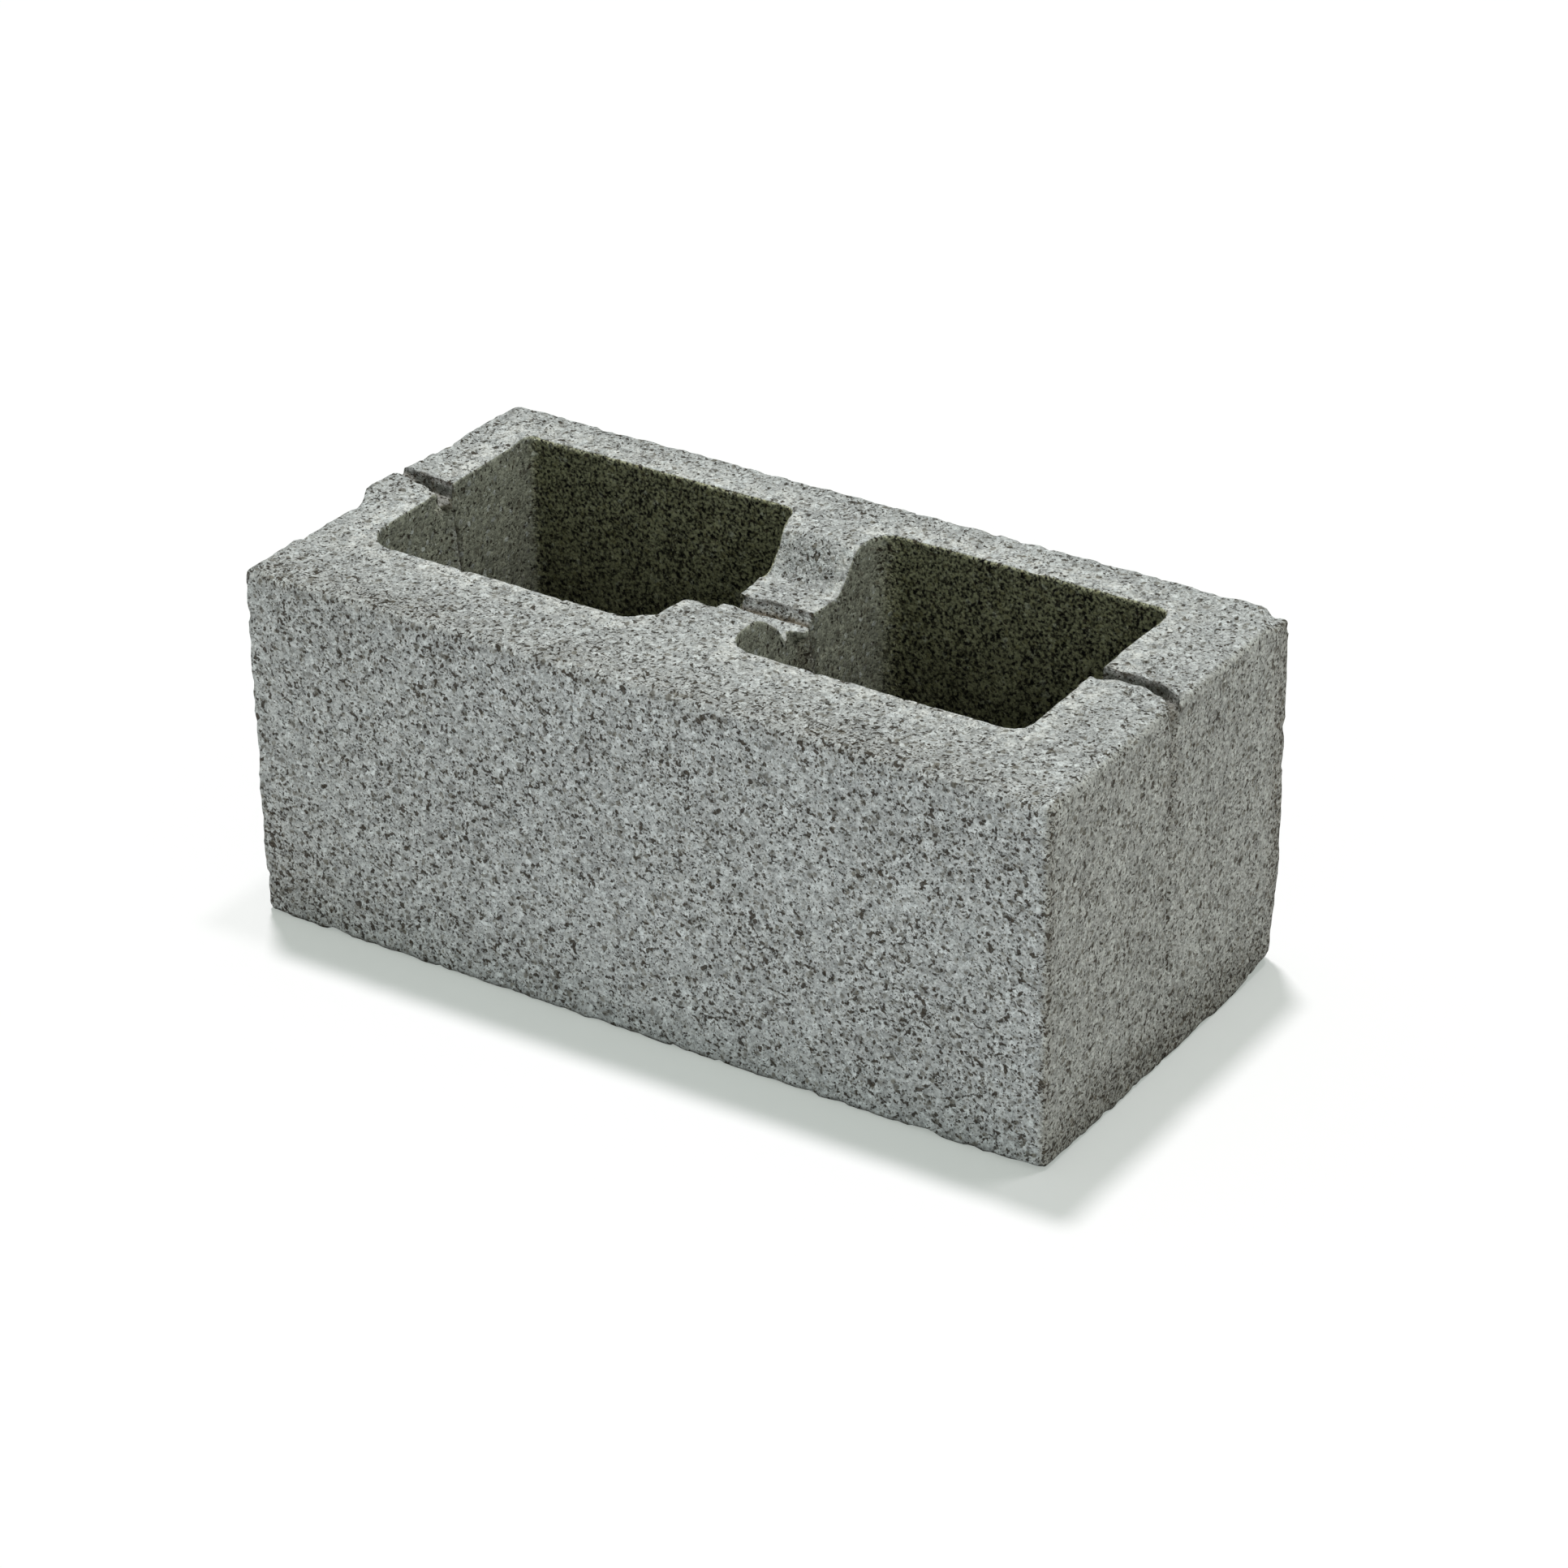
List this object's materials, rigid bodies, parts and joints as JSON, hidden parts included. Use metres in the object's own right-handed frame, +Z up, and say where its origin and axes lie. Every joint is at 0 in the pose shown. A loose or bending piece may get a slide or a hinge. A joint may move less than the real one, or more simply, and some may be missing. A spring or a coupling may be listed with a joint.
{
  "type": "concrete fence block",
  "caption": "Hollow concrete fence block with two through cells, thick dressed face and end, a low saddle in its web and core-bar grooves across its top.",
  "frame": {"origin": "middle of the bottom bed face", "axes": "+X along the length towards the thick dressed end, +Y from the thick face side to the back, +Z up"},
  "size_m": [0.4, 0.2, 0.17],
  "materials": {
    "concrete": "rough, open-grained dry-pressed concrete with fine pores and sand grains"
  },
  "bodies": {
    "root": {"fence_block": "concrete"}
  },
  "joints": []
}
